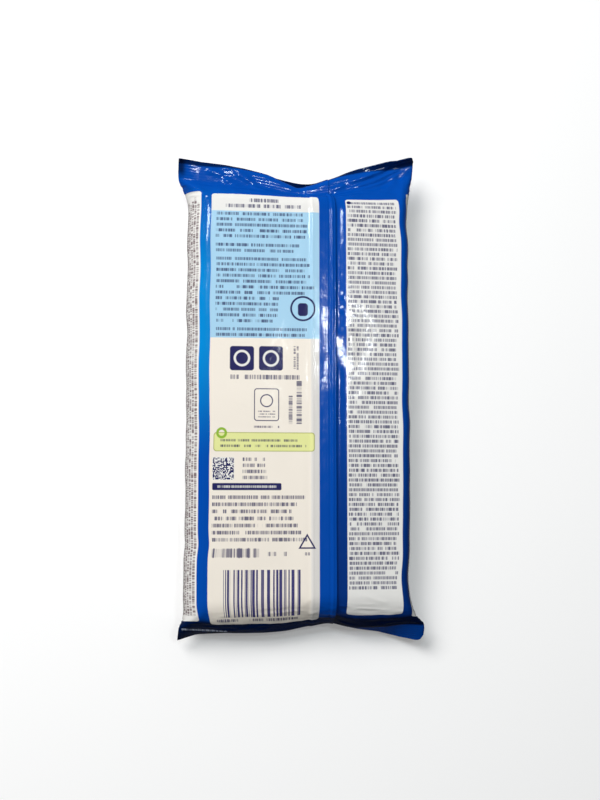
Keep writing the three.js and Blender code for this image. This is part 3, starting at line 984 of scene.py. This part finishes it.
def film_material(name, film, inks, print_on):
    """Polypropylene film, reverse-printed and laminated. It gives the eye saturated ink under a clear skin,
    with small, sharp, broken highlights. The four film materials differ only in their print."""
    material, tree = new_material(name)
    p = ground(tree, film, inks)
    print_on(p, film, inks)
    place = add(tree, "TexCoord").node.outputs["Object"]
    # soft waves about 8 mm long, and crinkles of about 2.4 mm
    ripple = add(tree, "TexNoise", {"Vector": place, "Scale": 120.0, "Detail": 3.0, "Roughness": 0.55})
    crinkle = add(tree, "TexNoise", {"Vector": place, "Scale": 420.0, "Detail": 2.0})
    height = p.math("MULTIPLY_ADD", crinkle, 0.25, ripple)
    # The fin's knurling is too fine to show, so it is drawn coarser, as streaks of about 1.4 by 11 mm.
    drawn = p.vector("MULTIPLY", place, (700, 90, 700))
    knurl = add(tree, "TexNoise", {"Vector": drawn, "Scale": 1.0, "Detail": 1.0})
    knurl = p.math("MULTIPLY", knurl, p.box(56.8, -86, 61.3, 86, 0.3))
    height = p.math("MULTIPLY_ADD", knurl, 0.35, height)
    bump = add(tree, "Bump", {"Height": height, "Distance": 0.0002, "Strength": 0.6})
    inputs = {"Base Color": p.colour, "Roughness": 0.12, "IOR": POLYPROPYLENE_IOR, "Normal": bump}
    add(tree, "OutputMaterial", {"Surface": add(tree, "BsdfPrincipled", inputs)})
    return material


def label_material(inks):
    """White polypropylene label stock with a satin varnish. It gives the eye a soft, even sheen, and a grain
    of about 1 mm that only breaks the edge of a highlight."""
    material, tree = new_material("satin_label_film")
    place = add(tree, "TexCoord").node.outputs["Object"]
    grain = add(tree, "TexNoise", {"Vector": place, "Scale": 900.0, "Detail": 2.0})
    bump = add(tree, "Bump", {"Height": grain, "Distance": 0.00002, "Strength": 0.5})
    inputs = {"Base Color": (*inks.label, 1), "Roughness": 0.35, "IOR": POLYPROPYLENE_IOR, "Normal": bump}
    add(tree, "OutputMaterial", {"Surface": add(tree, "BsdfPrincipled", inputs)})
    return material


def floor_material():
    """Matt white paper. It gives the eye an even white ground in every view, and keeps the pack's shadow.

    Camera rays see a share of lit paper that falls off with distance, and a glow that takes its place. The
    film's reflections see the paper only close by, and little of it.
    """
    material, tree = new_material("white_paper_sweep")
    path = add(tree, "LightPath").node
    camera, glossy = path.outputs["Is Camera Ray"], path.outputs["Is Glossy Ray"]
    seen = maths(tree, "MAXIMUM", camera, path.outputs["Is Transmission Ray"])
    seen = maths(tree, "MAXIMUM", seen, glossy)
    place = add(tree, "TexCoord").node.outputs["Object"]
    away = add(tree, "VectorMath", [place], operation="LENGTH").node.outputs["Value"]
    near = add(tree, "MapRange", [away, 0.24, 0.5, 1.0, 0.15], interpolation_type="SMOOTHSTEP")
    close = add(tree, "MapRange", [away, 0.09, 0.16, 0.08, 0.02], interpolation_type="SMOOTHSTEP")
    share = add(tree, "Mix", {"Factor": glossy, "A": near, "B": close})
    paper = add(tree, "BsdfDiffuse", {"Color": maths(tree, "MULTIPLY", share, 0.8)})
    glow = maths(tree, "MULTIPLY", maths(tree, "MULTIPLY", seen, 0.21), share)
    far = add(tree, "MapRange", [away, 0.22, 0.45, 0.0, 1.0], interpolation_type="SMOOTHSTEP")
    glow = maths(tree, "MULTIPLY_ADD", camera, far, glow)
    glow = add(tree, "Emission", {"Color": (1, 1, 1, 1), "Strength": glow})
    add(tree, "OutputMaterial", {"Surface": add(tree, "AddShader", [paper, glow])})
    return material


def area_lamp(name, at, size, power, tint):
    """A rectangular lamp that shines on the pack, with its place and size in metres."""
    data = bpy.data.lights.new(name, "AREA")
    data.shape = "RECTANGLE"
    data.size, data.size_y = size
    data.energy = power
    data.color = tint
    lamp = bpy.data.objects.new(name, data)
    lamp.location = at
    towards = Vector((0, 0, AIM_HEIGHT))
    lamp.rotation_euler = (towards - Vector(at)).to_track_quat("-Z", "Y").to_euler()
    bpy.context.scene.collection.objects.link(lamp)
    return lamp


class WIPES_OT_film(bpy.types.Operator):
    """Model the printed film pack"""

    bl_idname = "wipes.film"
    bl_label = "Film Pack"

    def execute(self, context):
        film, inks = Film(context.scene.wipes_film), context.scene.wipes_inks
        materials = [film_material(name, film, inks, print_on) for name, print_on in PRINTS.items()]
        piece = film_piece(film, materials)
        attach(piece, "root")
        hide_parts(FILM_NODE)
        return {"FINISHED"}


class WIPES_OT_label(bpy.types.Operator):
    """Finish the peel-back label"""

    bl_idname = "wipes.label"
    bl_label = "Peel-back Label"

    def execute(self, context):
        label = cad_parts[LABEL_NODE]
        label.data.materials.clear()
        label.data.materials.append(label_material(context.scene.wipes_inks))
        return {"FINISHED"}


def lay_floor(scene):
    """A plain floor, 6 m wide."""
    mesh = bmesh.new()
    bmesh.ops.create_grid(mesh, x_segments=1, y_segments=1, size=3)
    data = bpy.data.meshes.new("floor")
    mesh.to_mesh(data)
    mesh.free()
    data.materials.append(floor_material())
    floor = bpy.data.objects.new("floor", data)
    scene.collection.objects.link(floor)


def light_room(scene, s):
    """The room's light, brighter from above and from the upper left. Camera rays see it as white, and
    reflections see only a share of it."""
    world = bpy.data.worlds.new("room")
    world.use_nodes = True
    tree = world.node_tree
    sky = tree.nodes["Background"]
    way = add(tree, "TexCoord").node.outputs["Generated"]
    node = add(tree, "VectorMath", [way, (-0.4, 0.5, 0.77)], operation="DOT_PRODUCT").node
    high = add(tree, "MapRange", [node.outputs["Value"], -0.6, 1.0, 0.1, 1.5])
    path = add(tree, "LightPath").node
    dim = maths(tree, "MULTIPLY_ADD", path.outputs["Is Glossy Ray"], s.room - 1, 1.0)
    dim = maths(tree, "MULTIPLY", maths(tree, "MULTIPLY", dim, s.fill), high)
    dim = maths(tree, "MULTIPLY_ADD", path.outputs["Is Camera Ray"], 0.9, dim)
    tree.links.new(dim, sky.inputs["Strength"])
    sky.inputs["Color"].default_value = (1, 1, 1, 1)
    scene.world = world


def hang_lamps(s):
    """The key lamp gives the light and the shadow, and isn't seen in reflections. The window's image falls in
    the hollow beside the fin, and the strip's on the folds of the upper end."""
    key = area_lamp(
        "key", Vector((-0.62, 0.6, 1)).normalized(), (0.46, 0.46), s.key, tint=(1, 0.98, 0.97)
    )
    key.visible_glossy = False
    area_lamp("window", (0.17, 0.13, 0.98), (0.045, 0.09), s.window, tint=(0.9, 0.98, 1))
    area_lamp("strip", (-0.12, 0.3, 0.95), (0.14, 0.09), s.strip, tint=(0.82, 0.96, 1))


def set_camera(scene, s):
    """A camera nearly over the pack, with its field of view worked out from what a pixel spans."""
    leans = Vector((-math.tan(s.lean_left), -math.tan(s.lean_down), 1)).normalized()
    right = Vector((0, 1, 0)).cross(leans).normalized()
    up = leans.cross(right)
    middle = Vector(MIDDLE) + Vector((0, 0, AIM_HEIGHT))
    target = middle + right * AIM[0] * PIXEL + up * AIM[1] * PIXEL
    data = bpy.data.cameras.new("camera")
    data.sensor_width = SENSOR
    data.lens = SENSOR * s.distance / (PICTURE_HEIGHT * PIXEL)
    camera = bpy.data.objects.new("camera", data)
    camera.location = target + leans * s.distance
    camera.rotation_euler = Matrix((right, up, leans)).transposed().to_euler()
    scene.collection.objects.link(camera)
    scene.camera = camera


class WIPES_OT_studio(bpy.types.Operator):
    """Set the floor, the lamps and the camera"""

    bl_idname = "wipes.studio"
    bl_label = "Studio"

    def execute(self, context):
        scene = context.scene
        lay_floor(scene)
        light_room(scene, scene.wipes_studio)
        hang_lamps(scene.wipes_studio)
        set_camera(scene, scene.wipes_studio)
        scene.view_settings.view_transform = "Standard"
        return {"FINISHED"}


class WIPES_PT_panel(bpy.types.Panel):
    """Sizes, colours and steps of the wipes pack"""

    bl_idname = "WIPES_PT_panel"
    bl_label = "Wipes Pack"
    bl_space_type = "VIEW_3D"
    bl_region_type = "UI"
    bl_category = "Wipes Pack"

    def draw(self, context):
        for group in SETTINGS:
            box = self.layout.box()
            values = getattr(context.scene, group)
            for name in values.__annotations__:
                box.prop(values, name)
        for step in STEPS:
            self.layout.operator(step.bl_idname)


SETTINGS = {
    "wipes_film": FilmSizes,
    "wipes_inks": PrintColours,
    "wipes_studio": StudioSettings,
}
STEPS = (WIPES_OT_film, WIPES_OT_label, WIPES_OT_studio)
CLASSES = (*SETTINGS.values(), *STEPS, WIPES_PT_panel)


def register():
    for cls in CLASSES:
        bpy.utils.register_class(cls)
    for name, group in SETTINGS.items():
        setattr(bpy.types.Scene, name, PointerProperty(type=group))


def unregister():
    for name in SETTINGS:
        delattr(bpy.types.Scene, name)
    for cls in reversed(CLASSES):
        bpy.utils.unregister_class(cls)


def main():
    register()
    bpy.ops.wipes.film()
    bpy.ops.wipes.label()
    bpy.ops.wipes.studio()


if __name__ == "__main__":
    main()
